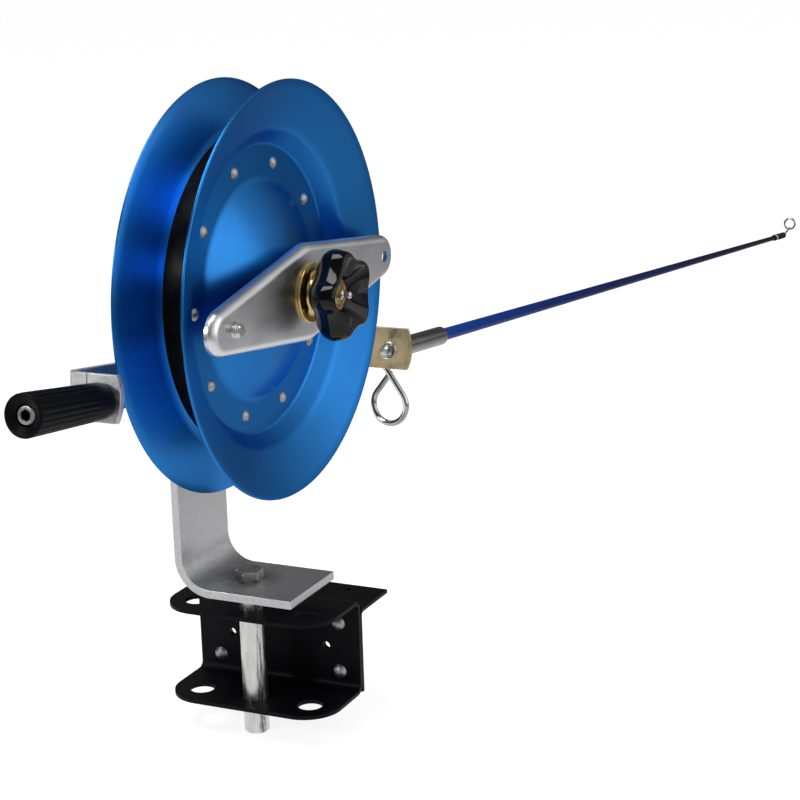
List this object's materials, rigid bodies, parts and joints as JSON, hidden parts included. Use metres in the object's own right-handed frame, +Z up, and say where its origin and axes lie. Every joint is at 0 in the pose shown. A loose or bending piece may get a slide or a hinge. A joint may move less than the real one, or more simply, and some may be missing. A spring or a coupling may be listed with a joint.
{
  "type": "sea fishing reel",
  "caption": "Sea fishing reel: dished spool with crank plate and star drag on a swivelling flat-bar stand, gunwale clamp bracket, and a lever with hand grip and short rod.",
  "frame": {"origin": "midway between the gunwale bolt holes, on the rear mounting face of the bracket's angle", "axes": "+X along the spool axle toward the drag knob, +Y outboard from the mounting face and along the rod, +Z up along the swivel post"},
  "size_m": [0.1642, 1.7935, 0.4935],
  "materials": {
    "black_paint": "satin black powder coat",
    "rivet_aluminium": "bright aluminium",
    "post_steel": "turned galvanised steel",
    "bar_aluminium": "brushed aluminium",
    "bolt_steel": "zinc plated steel",
    "yellow_zinc": "yellow zinc plated steel",
    "chrome_wire": "polished stainless steel",
    "blue_flange": "satin blue anodised",
    "polished_plate": "satin polished aluminium",
    "turned_aluminium": "turned aluminium",
    "bronze": "sintered bronze",
    "lining": "friction lining",
    "black_knob": "black thermoset plastic",
    "black_grip": "black moulded plastic",
    "drum_black": "black rubber",
    "rod_blue": "blue lacquered glass fibre",
    "sleeve_polished": "polished aluminium ferrule",
    "wrap_black": "lacquered whipping"
  },
  "bodies": {
    "bracket": {"clamp_bracket": "black_paint", "gunwale_angle": "black_paint", "bracket_rivets": "rivet_aluminium"},
    "stand": {"post": "post_steel", "upright": "bar_aluminium", "foot_bolt": "bolt_steel", "axle": "yellow_zinc", "axle_washer": "bolt_steel", "axle_nut": "bolt_steel", "rear_spacer": "bolt_steel", "thrust_washer": "bronze", "pivot_bolt": "bolt_steel", "pivot_washers": "lining", "pivot_nut": "bolt_steel", "grease_nipple": "chrome_wire"},
    "lever": {"lever_bar": "bar_aluminium", "rod_bracket": "yellow_zinc", "rod_bracket_bolts": "bolt_steel", "rod_bracket_nuts": "bolt_steel", "rod_bolt": "chrome_wire", "rod_washer": "chrome_wire", "rod_sleeve": "sleeve_polished", "rod": "rod_blue", "tip_wrap": "wrap_black", "tip_eye": "chrome_wire", "line_guide": "chrome_wire", "grip_bolt": "bolt_steel", "grip_nut": "bolt_steel"},
    "grip": {"grip": "black_grip"},
    "crank": {"crank_plate": "polished_plate", "crank_hub": "turned_aluminium", "crank_stud": "bolt_steel"},
    "spool": {"front_flange": "blue_flange", "rear_flange": "blue_flange", "drum_ring": "drum_black", "spool_rivets": "rivet_aluminium", "spool_hub": "turned_aluminium", "hub_bushes": "bronze", "friction_disc": "lining"},
    "drag": {"drag_cup": "yellow_zinc"},
    "knob": {"star_knob": "black_knob", "knob_insert": "yellow_zinc"}
  },
  "joints": [
    {"name": "stand_swivel", "type": "hinge", "parent": "bracket", "child": "stand", "pos_m": [0, -0.046, 0.0025], "axis": [0, 0, 1], "continuous": true},
    {"name": "lever_pivot", "type": "hinge", "parent": "stand", "child": "lever", "pos_m": [-0.0334, -0.046, 0.2201], "axis": [1, 0, 0], "range_deg": [-3, 45]},
    {"name": "grip_spin", "type": "hinge", "parent": "lever", "child": "grip", "pos_m": [-0.0054, -0.26254, 0.24932], "axis": [0, 0.9903, -0.1392], "continuous": true},
    {"name": "crank_turn", "type": "hinge", "parent": "stand", "child": "crank", "pos_m": [0.0525, -0.046, 0.2845], "axis": [1, 0, 0], "continuous": true},
    {"name": "spool_slip", "type": "hinge", "parent": "crank", "child": "spool", "pos_m": [0.0175, -0.046, 0.2845], "axis": [1, 0, 0], "continuous": true},
    {"name": "drag_travel", "type": "slide", "parent": "stand", "child": "drag", "axis": [1, 0, 0], "range_m": [0, 0.003]},
    {"name": "knob_turn", "type": "hinge", "parent": "drag", "child": "knob", "pos_m": [0.0775, -0.046, 0.2845], "axis": [1, 0, 0], "range_deg": [0, 540]}
  ],
  "couplings": [
    {"joint": "knob_turn", "follows": "drag_travel", "rad_per_m": 3141.6}
  ]
}
